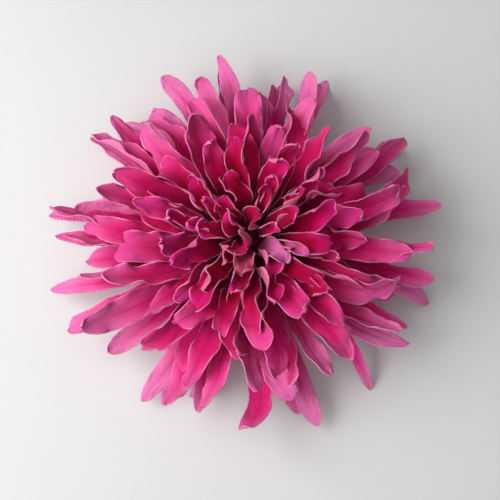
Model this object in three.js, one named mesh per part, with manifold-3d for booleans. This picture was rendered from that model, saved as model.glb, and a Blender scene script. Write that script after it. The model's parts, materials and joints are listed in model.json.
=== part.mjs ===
// An artificial chrysanthemum flower head, in millimetres, +Z up, lying face up on its calyx.
//
// Rounds of die-cut fabric are threaded on one plastic peg, with a spacer bead between each pair, and the peg
// is pushed into a moulded calyx. Every round is one piece of cloth: a small disc with a centre hole and a ring
// of long petals, heat-pressed into shallow troughs. The lowest rounds are wide and lie nearly flat, and each
// round above is shorter and stands up more. The origin is the middle of the calyx's flat underside.
import * as THREE from "three";
import { mergeVertices } from "three/addons/utils/BufferGeometryUtils.js";
import Module from "manifold-3d";

const wasm = await Module();
wasm.setup();

// ---- Driving dimensions ----
const DEGREE = Math.PI / 180;
const CLOTH = 0.4; // thickness of a stiffened round
const GAP = 0.3; // air left between pieces that touch
const PITCH = 2; // from one round to the next, up the peg
const FIRST_ROUND_Z = 8; // middle of the lowest round

// The peg, its head and what it holds.
const PEG_RADIUS = 1.3;
const PEG_HEAD = { radius: 1.9, height: 1.1 };
const HOLE_RADIUS = PEG_RADIUS + GAP;
const BEAD_RADIUS = 2.2;
const SOCKET_FLOOR = 2; // height of the floor of the calyx's socket

// The rounds, lowest first. petals: how many; length: disc edge to petal tip; width: of a petal at its widest;
// rise and tip: slope of a petal where it leaves the disc and at its tip, in degrees; cup: how far the edges
// stand above the midrib, as a share of half the width; disc: radius of the uncut middle.
const ROUNDS = [
  { petals: 16, length: 53, width: 7.2, rise: 2, tip: -9, cup: 0.22, disc: 5.6 },
  { petals: 17, length: 55, width: 7, rise: 9, tip: -5, cup: 0.22, disc: 5.6 },
  { petals: 16, length: 53, width: 7.2, rise: 16, tip: 0, cup: 0.26, disc: 5.6 },
  { petals: 16, length: 49, width: 7.4, rise: 23, tip: 4, cup: 0.3, disc: 5.4 },
  { petals: 15, length: 44, width: 7.4, rise: 30, tip: 8, cup: 0.34, disc: 5.2 },
  { petals: 15, length: 38, width: 7.4, rise: 37, tip: 12, cup: 0.36, disc: 4.9 },
  { petals: 14, length: 33, width: 7.2, rise: 44, tip: 17, cup: 0.38, disc: 4.6 },
  { petals: 12, length: 28, width: 7, rise: 51, tip: 24, cup: 0.4, disc: 4.3 },
  { petals: 11, length: 23, width: 6.8, rise: 58, tip: 33, cup: 0.42, disc: 4 },
  { petals: 9, length: 18, width: 6.6, rise: 66, tip: 46, cup: 0.44, disc: 3.6 },
  { petals: 6, length: 13, width: 6, rise: 74, tip: 66, cup: 0.46, disc: 3.2 },
];
const PALE_ROUNDS = 6; // the lowest rounds are dyed paler

// How far one petal may differ from its round's own shape.
const SPREAD = { azimuth: 0.42, length: 0.12, width: 0.14, rise: 6, tip: 17, bend: 28, roll: 40, cup: 0.4 };
const SEED = 26;

const OVAL = 0.035; // petals along X are longer by this share, and those along Y are shorter

// Petals that hang across the others, each with the round that it belongs to.
const STRAYS = [{ round: 1, azimuth: -40, bend: -46, length: 57, width: 4.6, tip: -4, roll: 34 }];
const STRAY_ROOM = 0.4; // of a petal's own room, kept free of ordinary petals beside a stray

// Directions in which the petals of the wide rounds have parted, with half of each parting, in degrees.
const PARTINGS = [[49, 8], [24, 3], [152, 5], [-161, 4], [-134, 4], [-56, 4], [8, 2], [84, 3], [119, 2]];
const PARTED_FROM = 44; // outside this radius no petal reaches into the middle of a parting
const PARTED_SHARE = 0.6; // of a parting's width that stays empty there
const PARTED_LENGTH = 52; // petals this long part fully
const CLOSED_LENGTH = 38; // and these don't part at all

// Where along a petal its cross-sections are placed, from the disc (0) to the tip (1), and its outline.
const STATIONS = [0, 0.14, 0.38, 0.64, 0.87];
const WIDEST_AT = 0.62;
const TIP_ROUNDNESS = 2.7;
const NECK_SHARE = 0.5; // of the disc's rim that the necks of all the petals take up
const CUPPED_FROM = 0.4; // the trough is fully formed from here on
const STEPS = 48; // integration steps along a midrib
const ROOT = 0.7; // how far a petal reaches into its disc
const FREE_NECK = 2.5; // this near the disc, petals of one round may stand side by side

// The calyx: a flared cup with a flat foot, its rim cut into pointed sepals. Its sides are [radius, z].
const CALYX_SIDE = [[7, 0], [7.5, 1.2], [8.8, 3], [11, 4.6], [15, 5.7]];
const CALYX_TOP = [[15, 6.3], [10.5, 5.6], [6.6, 6], [5.4, 7]]; // then the platform under the lowest round
const PLATFORM_RADIUS = 5;
const SEPALS = 10;
const SEPAL_POINTS = 6; // of the rim's outline, for each sepal
const SEPAL_SHARPNESS = 0.8;
const NOTCH_RADIUS = 9; // how deep the notches between the sepals reach

// The search for a free place for each petal.
const CLEARANCE = CLOTH + 0.32; // between the middle surfaces of two petals
const CELL = 0.32;
const SIDE = 140; // of the searched square
const HEIGHT = 60;
const SAMPLE = 0.6; // distance between tested points
const TRIES = 900;
const STRAY_FROM_SHAPE = { lift: 13, shift: 0.6, roll: 45, bend: 26, cup: 0.3 }; // by the last try
const SHRUNK = { length: 0.12, width: 0.3 }; // the share of a petal's size given up by the last try
const CALYX_MARK = 255;

const DISC_SEGMENTS = 18;
const BEAD_SEGMENTS = 14;
const PEG_SEGMENTS = 16;
const CALYX_SEGMENTS = 30;

const materials = {
  palePetals: new THREE.MeshStandardMaterial({ color: 0xc8487f, roughness: 0.85, metalness: 0 }),
  deepPetals: new THREE.MeshStandardMaterial({ color: 0xa8144e, roughness: 0.85, metalness: 0 }),
  calyx: new THREE.MeshStandardMaterial({ color: 0x4d6b33, roughness: 0.55, metalness: 0 }),
  peg: new THREE.MeshStandardMaterial({ color: 0x6b1530, roughness: 0.5, metalness: 0 }),
  bead: new THREE.MeshStandardMaterial({ color: 0xd9d4cc, roughness: 0.5, metalness: 0 }),
};

// ---- Small helpers ----

// Repeatable random numbers from 0 to 1.
function mulberry32(seed) {
  let state = seed >>> 0;
  return () => {
    state = (state + 0x6d2b79f5) >>> 0;
    let t = state;
    t = Math.imul(t ^ (t >>> 15), t | 1);
    t ^= t + Math.imul(t ^ (t >>> 7), t | 61);
    return ((t ^ (t >>> 14)) >>> 0) / 4294967296;
  };
}

const random = mulberry32(SEED);
const vary = (amount) => (2 * random() - 1) * amount;
const smooth = (t) => t * t * (3 - 2 * t);
const wrap = (degrees) => ((((degrees + 180) % 360) + 360) % 360) - 180;
const twoDigits = (number) => String(number).padStart(2, "0");

// ---- The shape of one petal ----

// Moves a direction away from the partings near it.
function parted(azimuth, strength) {
  let moved = azimuth;
  for (const [middle, half] of PARTINGS) {
    const off = wrap(azimuth - middle);
    moved += Math.sign(off) * half * strength * Math.exp(-((off / (2 * half)) ** 2));
  }
  return moved;
}

// Half the width of a petal at s, from the disc (0) to the tip (1).
function halfWidth(petal, s) {
  if (s <= WIDEST_AT) return petal.neck + (petal.half - petal.neck) * smooth(s / WIDEST_AT);
  const past = (s - WIDEST_AT) / (1 - WIDEST_AT);
  return petal.half * Math.sqrt(1 - past ** TIP_ROUNDNESS);
}

// The cross-sections of a petal's middle surface, each with its left edge, midrib and right edge and its normal,
// and then the tip. The midrib is followed from the disc outwards as its slope and heading change.
function petalShape(petal) {
  const start = petal.azimuth * DEGREE;
  const point = new THREE.Vector3(Math.cos(start) * petal.root, Math.sin(start) * petal.root, petal.z);
  const sections = [];
  for (let i = 0; i < STEPS; i += 1) {
    const s = i / STEPS;
    const lift = petal.lift * smooth(Math.min(1, 0.3 + 3 * s));
    const slope = (petal.rise + (petal.tip - petal.rise) * s + lift) * DEGREE;
    const heading = (petal.azimuth + petal.bend * s * s) * DEGREE;
    const level = new THREE.Vector3(Math.cos(heading), Math.sin(heading), 0);
    const along = level.multiplyScalar(Math.cos(slope)).setZ(Math.sin(slope));
    if (s >= STATIONS[sections.length]) {
      const across = new THREE.Vector3(-Math.sin(heading), Math.cos(heading), 0);
      across.applyAxisAngle(along, petal.roll * smooth(s) * DEGREE);
      const normal = new THREE.Vector3().crossVectors(along, across);
      const half = halfWidth(petal, s);
      const raised = half * petal.cup * smooth(Math.min(1, s / CUPPED_FROM));
      const edges = point.clone().addScaledVector(normal, raised);
      const left = edges.clone().addScaledVector(across, half);
      const right = edges.clone().addScaledVector(across, -half);
      sections.push({ s, normal, points: [left, point.clone(), right] });
    }
    point.addScaledVector(along, petal.length / STEPS);
  }
  return { sections, tip: point };
}

// Points spread over a petal's facets, closer together than the clearance, each with its s.
function samplesOf({ sections, tip }) {
  const rows = [...sections, { s: 1, points: [tip, tip, tip] }];
  const list = [];
  for (let r = 0; r + 1 < rows.length; r += 1) {
    const [near, far] = [rows[r], rows[r + 1]];
    const along = Math.ceil(near.points[1].distanceTo(far.points[1]) / SAMPLE);
    for (const side of [0, 1]) {
      const [a, b] = [near.points[side], near.points[side + 1]];
      const [c, d] = [far.points[side], far.points[side + 1]];
      const across = Math.ceil(Math.max(a.distanceTo(b), c.distanceTo(d)) / SAMPLE);
      for (let i = 0; i < along; i += 1)
        for (let j = 0; j <= across; j += 1) {
          const [t, u] = [i / along, j / across];
          const point = a.clone().lerp(b, u).lerp(c.clone().lerp(d, u), t);
          point.s = near.s + (far.s - near.s) * t;
          list.push(point);
        }
    }
  }
  return list;
}

// ---- The search for free places ----

// The space round the axis, in cells that remember which round fills them.
const cells = Math.ceil(SIDE / CELL);
const levels = Math.ceil(HEIGHT / CELL);
const filled = new Uint8Array(cells * cells * levels);
const reach = Math.ceil(CLEARANCE / CELL);
const nearCells = [];
for (let x = -reach; x <= reach; x += 1)
  for (let y = -reach; y <= reach; y += 1)
    for (let z = -reach; z <= reach; z += 1)
      if (Math.hypot(x, y, z) * CELL <= CLEARANCE) nearCells.push((x * cells + y) * levels + z);

function cellAt({ x, y, z }) {
  const column = Math.floor((x + SIDE / 2) / CELL) * cells + Math.floor((y + SIDE / 2) / CELL);
  return column * levels + Math.floor(z / CELL);
}

function occupy(points, mark) {
  for (const point of points) {
    const cell = cellAt(point);
    for (const offset of nearCells) filled[cell + offset] = mark;
  }
}

function occupyDisc(radius, z, mark) {
  const points = [];
  for (let x = -radius; x <= radius; x += SAMPLE)
    for (let y = -radius; y <= radius; y += SAMPLE) if (Math.hypot(x, y) <= radius) points.push({ x, y, z });
  occupy(points, mark);
}

function inParting({ x, y }) {
  if (Math.hypot(x, y) < PARTED_FROM) return false;
  const azimuth = Math.atan2(y, x) / DEGREE;
  return PARTINGS.some(([middle, half]) => Math.abs(wrap(azimuth - middle)) < half * PARTED_SHARE);
}

// Whether any point lies in a cell that something else fills, in a parting, or too near the surface under the
// flower.
function blocked(points, mark, freeNeck) {
  return points.some((point) => {
    const filler = filled[cellAt(point)];
    return point.z < CLOTH || (filler && (filler !== mark || point.s > freeNeck)) || inParting(point);
  });
}

// The free place nearest to the one that a petal would take: each try strays a little further from it. A petal
// that finds none is left out, as a trimmed one is.
function settle(petal, mark) {
  for (let i = 0; i < TRIES; i += 1) {
    const far = i / TRIES;
    const shape = petalShape({
      ...petal,
      lift: vary(STRAY_FROM_SHAPE.lift) * far,
      azimuth: petal.azimuth + vary(STRAY_FROM_SHAPE.shift) * far * petal.room,
      roll: petal.roll * (1 - far) + vary(STRAY_FROM_SHAPE.roll) * far,
      bend: petal.bend * (1 - far) + vary(STRAY_FROM_SHAPE.bend) * far,
      cup: petal.cup * (1 + vary(STRAY_FROM_SHAPE.cup) * far),
      length: petal.length * (1 - SHRUNK.length * far),
      half: petal.half * (1 - SHRUNK.width * far),
    });
    if (!blocked(samplesOf(shape), mark, FREE_NECK / petal.length)) return shape;
  }
  return null;
}

// ---- Solids ----

// A closed solid from a geometry.
function solidFrom(geometry) {
  const bare = new THREE.BufferGeometry();
  bare.setAttribute("position", geometry.getAttribute("position"));
  bare.setIndex(geometry.getIndex());
  const merged = mergeVertices(bare, 1e-4);
  return new wasm.Manifold(new wasm.Mesh({
    numProp: 3,
    vertProperties: new Float32Array(merged.getAttribute("position").array),
    triVerts: new Uint32Array(merged.getIndex().array),
  }));
}

// The solid between the two skins of a petal: a ring of six corners at each section, and one point at the tip.
function petalSolid({ sections, tip }) {
  const corners = [];
  for (const { points, normal } of sections) {
    const [left, middle, right] = points;
    for (const p of [left, middle, right]) corners.push(p.clone().addScaledVector(normal, CLOTH / 2));
    for (const p of [right, middle, left]) corners.push(p.clone().addScaledVector(normal, -CLOTH / 2));
  }
  corners.push(tip);
  const faces = [0, 4, 1, 0, 5, 4, 1, 3, 2, 1, 4, 3];
  const lastRing = 6 * (sections.length - 1);
  for (let ring = 0; ring < lastRing; ring += 6)
    for (let q = 0; q < 6; q += 1) {
      const [a, b] = [ring + q, ring + ((q + 1) % 6)];
      faces.push(a, b, a + 6, b, b + 6, a + 6);
    }
  for (let q = 0; q < 6; q += 1) faces.push(lastRing + q, lastRing + ((q + 1) % 6), lastRing + 6);
  const geometry = new THREE.BufferGeometry();
  geometry.setAttribute("position", new THREE.Float32BufferAttribute(corners.flatMap((c) => [...c]), 3));
  geometry.setIndex(faces);
  return solidFrom(geometry);
}

// A solid turned round the axis from an [x, z] outline that closes on itself or on the axis.
function turned(outline, segments) {
  const geometry = new THREE.LatheGeometry(outline.map(([x, z]) => new THREE.Vector2(x, z)), segments);
  geometry.rotateX(Math.PI / 2);
  return solidFrom(geometry);
}

// A flat ring round the peg.
function ring(outer, low, high, segments) {
  const outline = [[HOLE_RADIUS, low], [outer, low], [outer, high], [HOLE_RADIUS, high], [HOLE_RADIUS, low]];
  return turned(outline, segments);
}

function addNode(group, solid, name, material) {
  const { numProp, vertProperties, triVerts } = solid.getMesh();
  const positions = [];
  for (let i = 0; i < vertProperties.length; i += numProp) positions.push(...vertProperties.subarray(i, i + 3));
  const geometry = new THREE.BufferGeometry();
  geometry.setAttribute("position", new THREE.Float32BufferAttribute(positions, 3));
  geometry.setIndex(Array.from(triVerts));
  const mesh = new THREE.Mesh(geometry, material);
  mesh.name = name;
  group.add(mesh);
}

// ---- The pieces ----

// The plan of the sepals: a star with rounded notches.
function sepalPlan(radius) {
  const count = SEPALS * SEPAL_POINTS;
  const points = [];
  for (let i = 0; i < count; i += 1) {
    const angle = (i / count) * 2 * Math.PI;
    const fromTip = Math.abs(2 * ((i / SEPAL_POINTS) % 1) - 1);
    const out = NOTCH_RADIUS + (radius - NOTCH_RADIUS) * (1 - fromTip ** SEPAL_SHARPNESS);
    points.push(new THREE.Vector2(Math.cos(angle) * out, Math.sin(angle) * out));
  }
  return new THREE.Shape(points);
}

function calyx(top) {
  const cup = turned([
    [0, 0],
    ...CALYX_SIDE,
    ...CALYX_TOP,
    [PLATFORM_RADIUS, top],
    [HOLE_RADIUS, top],
    [HOLE_RADIUS, SOCKET_FLOOR],
    [0, SOCKET_FLOOR],
  ], CALYX_SEGMENTS);
  const [radius] = CALYX_SIDE.at(-1);
  const plan = new THREE.ExtrudeGeometry(sepalPlan(radius), { depth: 3 * top, bevelEnabled: false });
  plan.translate(0, 0, -top);
  return cup.intersect(solidFrom(plan.index ? plan : mergeVertices(plan)));
}

function peg(underHead) {
  const { radius, height } = PEG_HEAD;
  return turned([
    [0, SOCKET_FLOOR + GAP],
    [PEG_RADIUS, SOCKET_FLOOR + GAP],
    [PEG_RADIUS, underHead],
    [radius, underHead],
    [radius, underHead + height / 2],
    [radius * 0.6, underHead + height],
    [0, underHead + height],
  ], PEG_SEGMENTS);
}

// One round: its disc, then its strays, then its ordinary petals.
function petalRound(round, z, mark) {
  const room = 360 / round.petals;
  const phase = random() * room;
  const overClosed = (round.length - CLOSED_LENGTH) / (PARTED_LENGTH - CLOSED_LENGTH);
  const strength = THREE.MathUtils.clamp(overClosed, 0, 1);
  const strays = STRAYS.filter((stray) => stray.round === mark);
  const wanted = [...strays, ...Array(round.petals).fill(null)];
  let solid = ring(round.disc, z - CLOTH / 2, z + CLOTH / 2, DISC_SEGMENTS);
  wanted.forEach((stray, i) => {
    const azimuth = parted(phase + room * (i + vary(SPREAD.azimuth)), strength);
    const oval = 1 + OVAL * Math.cos(2 * azimuth * DEGREE);
    const petal = {
      z,
      room,
      root: round.disc - ROOT,
      neck: (Math.PI * round.disc * NECK_SHARE) / round.petals,
      azimuth,
      length: round.length * oval * (1 + vary(SPREAD.length)) + ROOT,
      width: round.width * (1 + vary(SPREAD.width)),
      rise: round.rise + vary(SPREAD.rise),
      tip: round.tip + vary(SPREAD.tip),
      bend: vary(SPREAD.bend),
      roll: vary(SPREAD.roll),
      cup: round.cup * (1 + vary(SPREAD.cup)),
      ...stray,
    };
    petal.half = petal.width / 2;
    const crowded = strays.some(({ azimuth }) => Math.abs(wrap(petal.azimuth - azimuth)) < room * STRAY_ROOM);
    const shape = stray || !crowded ? settle(petal, mark) : null;
    if (!shape) return;
    occupy(samplesOf(shape), mark);
    solid = solid.add(petalSolid(shape));
  });
  return solid;
}

const group = new THREE.Group();
const heights = ROUNDS.map((_, k) => FIRST_ROUND_Z + PITCH * k);
const aboveCloth = CLOTH / 2 + GAP;

addNode(group, calyx(heights[0] - aboveCloth), "calyx", materials.calyx);
addNode(group, peg(heights.at(-1) + aboveCloth), "centre_peg", materials.peg);
for (let k = 0; k + 1 < ROUNDS.length; k += 1) {
  const bead = ring(BEAD_RADIUS, heights[k] + aboveCloth, heights[k + 1] - aboveCloth, BEAD_SEGMENTS);
  addNode(group, bead, `spacer_bead_${twoDigits(k + 1)}`, materials.bead);
}

const [rimRadius, rimZ] = CALYX_TOP[0];
occupyDisc(rimRadius, rimZ, CALYX_MARK);
ROUNDS.forEach(({ disc }, k) => occupyDisc(disc, heights[k], k + 1));
ROUNDS.forEach((round, k) => {
  const material = k < PALE_ROUNDS ? materials.palePetals : materials.deepPetals;
  addNode(group, petalRound(round, heights[k], k + 1), `petal_round_${twoDigits(k + 1)}`, material);
});

export default group;
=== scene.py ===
"""An artificial chrysanthemum flower head: rounds of die-cut cloth petals on a peg, in a moulded calyx.

Every length is in metres unless its name says otherwise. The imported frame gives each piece's place: the
midribs and the widths of the petals, the discs, the beads, the peg and the calyx.
"""

import json
import math

import bmesh
import bpy
import numpy as np
from bpy.props import FloatProperty, FloatVectorProperty, IntProperty, PointerProperty
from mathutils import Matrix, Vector


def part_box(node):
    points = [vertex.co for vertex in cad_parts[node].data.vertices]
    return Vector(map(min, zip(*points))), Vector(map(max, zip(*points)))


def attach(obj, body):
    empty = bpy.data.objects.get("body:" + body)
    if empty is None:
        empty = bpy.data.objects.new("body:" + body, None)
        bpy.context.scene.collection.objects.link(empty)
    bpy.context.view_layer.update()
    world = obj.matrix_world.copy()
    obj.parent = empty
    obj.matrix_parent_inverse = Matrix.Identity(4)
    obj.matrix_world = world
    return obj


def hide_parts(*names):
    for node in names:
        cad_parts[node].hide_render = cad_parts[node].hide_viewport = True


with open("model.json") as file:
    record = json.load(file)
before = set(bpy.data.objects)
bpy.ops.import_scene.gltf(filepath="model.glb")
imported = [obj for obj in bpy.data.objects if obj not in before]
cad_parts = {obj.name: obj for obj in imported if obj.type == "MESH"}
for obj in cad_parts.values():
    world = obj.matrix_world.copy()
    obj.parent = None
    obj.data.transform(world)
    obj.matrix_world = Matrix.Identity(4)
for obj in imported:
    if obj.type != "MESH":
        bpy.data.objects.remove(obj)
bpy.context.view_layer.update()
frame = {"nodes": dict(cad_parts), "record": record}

bl_info = {
    "name": "Cloth chrysanthemum",
    "version": (1, 0, 0),
    "blender": (4, 5, 0),
    "location": "View3D > Sidebar > Chrysanthemum",
    "description": "Makes the looks of a cloth chrysanthemum flower head around its packed model",
    "category": "Object",
}

BODY = "root"
MM = 0.001
ROUND_NODES = sorted(name for name in frame["nodes"] if name.startswith("petal_round_"))
BEAD_NODES = sorted(name for name in frame["nodes"] if name.startswith("spacer_bead_"))

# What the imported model's petals are like.
STATIONS = 4  # cross-sections read from each
STATION_CORNERS = 6  # of one cross-section
RIM_CORNERS = 8  # at least so many corners of a disc's rim are left between its petals

# Petals unlike the others: round, direction from the peg, how faded, how sallow and how far curled up.
ODD_PETALS = (
    ("petal_round_09", math.radians(-24), 0.4, 0.0, 0.0),
    ("petal_round_10", math.radians(-37), 0.7, 0.0, 0.0),
    ("petal_round_10", math.radians(-100), 0.0, 0.7, 0.0),
    ("petal_round_02", math.radians(-83), 0.0, 0.0, 1.45),
)

# How a cloth petal is laid out: shares of its length, or of half its width.
TIP_CROWDING = 1.35  # above 1, its rows lie closer together near the tip
EDGE_CROWDING = 0.85  # below 1, its points lie closer together near the edges
WIDEST_AT = 0.66
LIP_FROM = 0.62  # outside this the edge can roll over
LEAST_HEIGHT = 1.3  # over the floor, in thicknesses of the cloth

# What a flat round of cloth is like.
FULLNESS = 0.85  # a petal's area, as a share of its length times its width
LEAST_AREA = 0.301  # of the square it is cut from, the least area that is reckoned

# The weave and the pale rim, in millimetres on the petal.
RIBS_PER_MM = 1.08
THREADS_PER_MM = 3.4
RIM_WIDTH = (0.34, 0.06)  # from where it fades out to where it is full
USUAL_LENGTH = 40  # of a petal

PEG_DOME = 0.6 * MM

# The calyx.
TURNS = 240  # points round it
SEPALS = 10
SEPAL_STEPS = 7
SEPAL_THICKNESS = 0.55 * MM
SEPAL_FOOT = 4.2 * MM  # height at which the sepals leave the cup
SEPAL_NOTCH = 0.25  # of the way from the foot's edge to a sepal's tip
SEPAL_TIP_DROP = 1.2 * MM  # from the platform down to a sepal's tip

# The stage.
AIM = Vector((0, -0.003, 0.02))
FLOOR_SIDE = 3.0
ROOM_COLOUR = (0.93, 0.95, 1.0, 1.0)
LAMPS = (  # name, place from the aim, width and colour
    ("window", Vector((-0.34, 0.03, 0.34)), 0.34, (1.0, 0.99, 0.98)),
    ("ceiling", Vector((0.0, -0.2, 1.4)), 1.6, (1.0, 1.0, 1.0)),
    ("fill", Vector((-0.5, -0.36, 0.5)), 0.5, (0.98, 0.98, 1.0)),
)


# ---- Settings ----


def length_setting(name, description, default):
    return FloatProperty(name=name, description=description, default=default, unit="LENGTH", precision=5)


def share_setting(name, description, default):
    return FloatProperty(name=name, description=description, default=default, min=0, soft_max=1)


def colour_setting(name, description, default):
    return FloatVectorProperty(
        name=name, description=description, default=default, subtype="COLOR", size=3, min=0, max=1
    )


def power_setting(name, description, default):
    return FloatProperty(name=name, description=description, default=default, min=0, unit="POWER")


class PetalSettings(bpy.types.PropertyGroup):
    """Sizes and colours of the cloth petals."""

    cloth: length_setting("Cloth", "Thickness of the stiffened cloth", 0.26 * MM)
    ruffle: length_setting("Ruffle", "How far the edges of an inner petal wave up and down", 0.8 * MM)
    ruffle_pitch: length_setting("Ruffle pitch", "Length of one wave of the edge", 7.5 * MM)
    sway: length_setting("Sway", "How far a long petal swings off its midrib", 2.6 * MM)
    crinkle: length_setting("Crinkle", "Height of the soft creases across a petal", 0.12 * MM)
    crinkle_pitch: length_setting("Crinkle pitch", "Distance between the soft creases", 2.4 * MM)
    vein: length_setting("Vein", "Depth of the pressed line along a petal's middle", 0.25 * MM)
    fray: length_setting("Fray", "How far the cut edge wanders", 0.22 * MM)
    thread: length_setting("Thread", "Length of a loose thread at the cut edge", 0.7 * MM)
    thread_share: share_setting("Threads", "Share of edge points that a loose thread hangs from", 0.022)
    rows: IntProperty(name="Rows", description="Cross-sections of the longest petal", default=96, min=12)
    columns: IntProperty(name="Columns", description="Points across a petal", default=19, min=5)
    # The base colour is the deep dye near the disc, darkened with painted shade of the flower's centre.
    base: colour_setting("Base", "Dye where a petal leaves the disc", (0.085, 0.0003, 0.007))
    # Middle is also the darker colour of the painted shade in the pressed ribs and vein.
    middle: colour_setting("Middle", "Dye of an inner petal", (0.42, 0.0008, 0.043))
    outer: colour_setting("Outer", "Dye of the widest rounds", (0.84, 0.022, 0.25))
    inner_tip: colour_setting("Inner tip", "Dye at the tip of an inner petal", (0.67, 0.014, 0.21))
    outer_tip: colour_setting("Outer tip", "Dye at the tip of a wide petal", (0.95, 0.26, 0.58))
    rim: colour_setting("Rim", "Undyed threads along the cut edge", (0.96, 0.4, 0.64))
    lilac: colour_setting("Lilac", "A petal that took little dye", (0.72, 0.2, 0.5))
    salmon: colour_setting("Salmon", "A crumpled petal that took a warmer dye", (0.62, 0.1, 0.17))


class HoldingSettings(bpy.types.PropertyGroup):
    """Sizes and colours of the peg, the beads and the calyx."""

    ease: length_setting("Ease", "Radius of a moulded edge", 0.15 * MM)
    sepal_sag: length_setting("Sepal sag", "How far a sepal's edges hang below its middle", 0.5 * MM)
    calyx: colour_setting("Calyx", "Colour of the calyx", (0.075, 0.15, 0.035))
    peg: colour_setting("Peg", "Colour of the peg", (0.03, 0.001, 0.006))
    bead: colour_setting("Bead", "Colour of the spacer beads", (0.6, 0.57, 0.52))


class StageSettings(bpy.types.PropertyGroup):
    """The floor, the lamps and the camera."""

    floor: colour_setting("Floor", "Colour of the floor", (0.74, 0.74, 0.735))
    window: power_setting("Window", "Power of the window light", 2.1)
    fill: power_setting("Fill", "Power of the light from the front", 1.75)
    ceiling: power_setting("Ceiling", "Power of the light from above", 5.0)
    room: share_setting("Room", "Strength of the light from all round", 0.18)
    elevation: FloatProperty(
        name="Elevation",
        description="Camera's height over the horizon",
        default=math.radians(81),
        subtype="ANGLE",
    )
    distance: length_setting("Distance", "From the camera to the flower", 0.36)
    lens: FloatProperty(name="Lens", description="Focal length in millimetres", default=86, min=1)


# ---- Node helpers ----


class Value:
    """A node's output, with the arithmetic of numbers and of vectors."""

    def __init__(self, tree, socket):
        self.tree, self.socket = tree, socket

    def _with(self, operation, *others, swap=False):
        terms = [self, *others]
        if swap:
            terms.reverse()
        if any(self.tree.is_vector(term) for term in terms):
            return self.tree.vector(operation, *terms)
        return self.tree.number(operation, *terms)

    def __add__(self, other):
        return self._with("ADD", other)

    __radd__ = __add__

    def __sub__(self, other):
        return self._with("SUBTRACT", other)

    def __rsub__(self, other):
        return self._with("SUBTRACT", other, swap=True)

    def __mul__(self, other):
        if self.tree.is_vector(self) != self.tree.is_vector(other):
            vector, number = (self, other) if self.tree.is_vector(self) else (other, self)
            return self.tree.vector("SCALE", vector, Scale=number)
        return self._with("MULTIPLY", other)

    __rmul__ = __mul__

    def __truediv__(self, other):
        return self._with("DIVIDE", other)

    def __pow__(self, other):
        return self.tree.number("POWER", self, other)


class NodeTree:
    """Short ways to add nodes to a geometry or shader tree."""

    def __init__(self, tree):
        self.tree = tree

    def is_vector(self, term):
        if isinstance(term, Value):
            return term.socket.type in {"VECTOR", "RGBA"}
        return isinstance(term, (tuple, Vector))

    def feed(self, socket, term):
        if isinstance(term, Value):
            self.tree.links.new(term.socket, socket)
        elif isinstance(term, bpy.types.NodeSocket):
            self.tree.links.new(term, socket)
        else:
            socket.default_value = term

    def node(self, kind, *terms, settings=None, **named):
        """Adds a node. Terms feed its first inputs that are in use, and named ones those of that name."""
        made = self.tree.nodes.new(kind)
        for key, setting in (settings or {}).items():
            setattr(made, key, setting)
        usable = [socket for socket in made.inputs if socket.enabled]
        for socket, term in zip(usable, terms):
            self.feed(socket, term)
        for name, term in named.items():
            wanted = name.replace("_", " ")
            socket = next(s for s in usable if s.name.lower() == wanted.lower())
            self.feed(socket, term)
        return made

    def value(self, node, output=0):
        outputs = [socket for socket in node.outputs if socket.enabled]
        if isinstance(output, str):
            return Value(self, next(socket for socket in outputs if socket.name == output))
        return Value(self, outputs[output])

    def number(self, operation, *terms):
        return self.value(self.node("ShaderNodeMath", *terms, settings={"operation": operation}))

    def vector(self, operation, *terms, **named):
        node = self.node("ShaderNodeVectorMath", *terms, settings={"operation": operation}, **named)
        return self.value(node)

    def smooth(self, term, low, high, start=0.0, end=1.0):
        """Eases from start to end as the term goes from low to high."""
        settings = {"interpolation_type": "SMOOTHSTEP"}
        node = self.node("ShaderNodeMapRange", term, low, high, start, end, settings=settings)
        return self.value(node)

    def wave(self, term):
        return self.number("SINE", term * math.tau)

    def sine(self, angle):
        return self.number("SINE", angle)

    def cosine(self, angle):
        return self.number("COSINE", angle)

    def size(self, term):
        return self.number("ABSOLUTE", term)

    def away_from_zero(self, term):
        """The term, kept just off zero so that it can divide."""
        side = self.number("SIGN", self.number("SIGN", term) + 0.5)
        return side * self.number("MAXIMUM", self.size(term), 0.02)

    def dot(self, one, other):
        node = self.node("ShaderNodeVectorMath", one, other, settings={"operation": "DOT_PRODUCT"})
        return self.value(node, "Value")

    def noise(self, at, scale=1.0, detail=2.0):
        """Smooth noise, about -1 to 1."""
        node = self.node("ShaderNodeTexNoise", Vector=at, Scale=scale, Detail=detail)
        output = "Fac" if any(socket.name == "Fac" for socket in node.outputs) else "Factor"
        return (self.value(node, output) - 0.5) * 2.6

    def combine(self, x, y, z):
        return self.value(self.node("ShaderNodeCombineXYZ", x, y, z))

    def separate(self, vector):
        node = self.node("ShaderNodeSeparateXYZ", vector)
        return [Value(self, socket) for socket in node.outputs]


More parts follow.
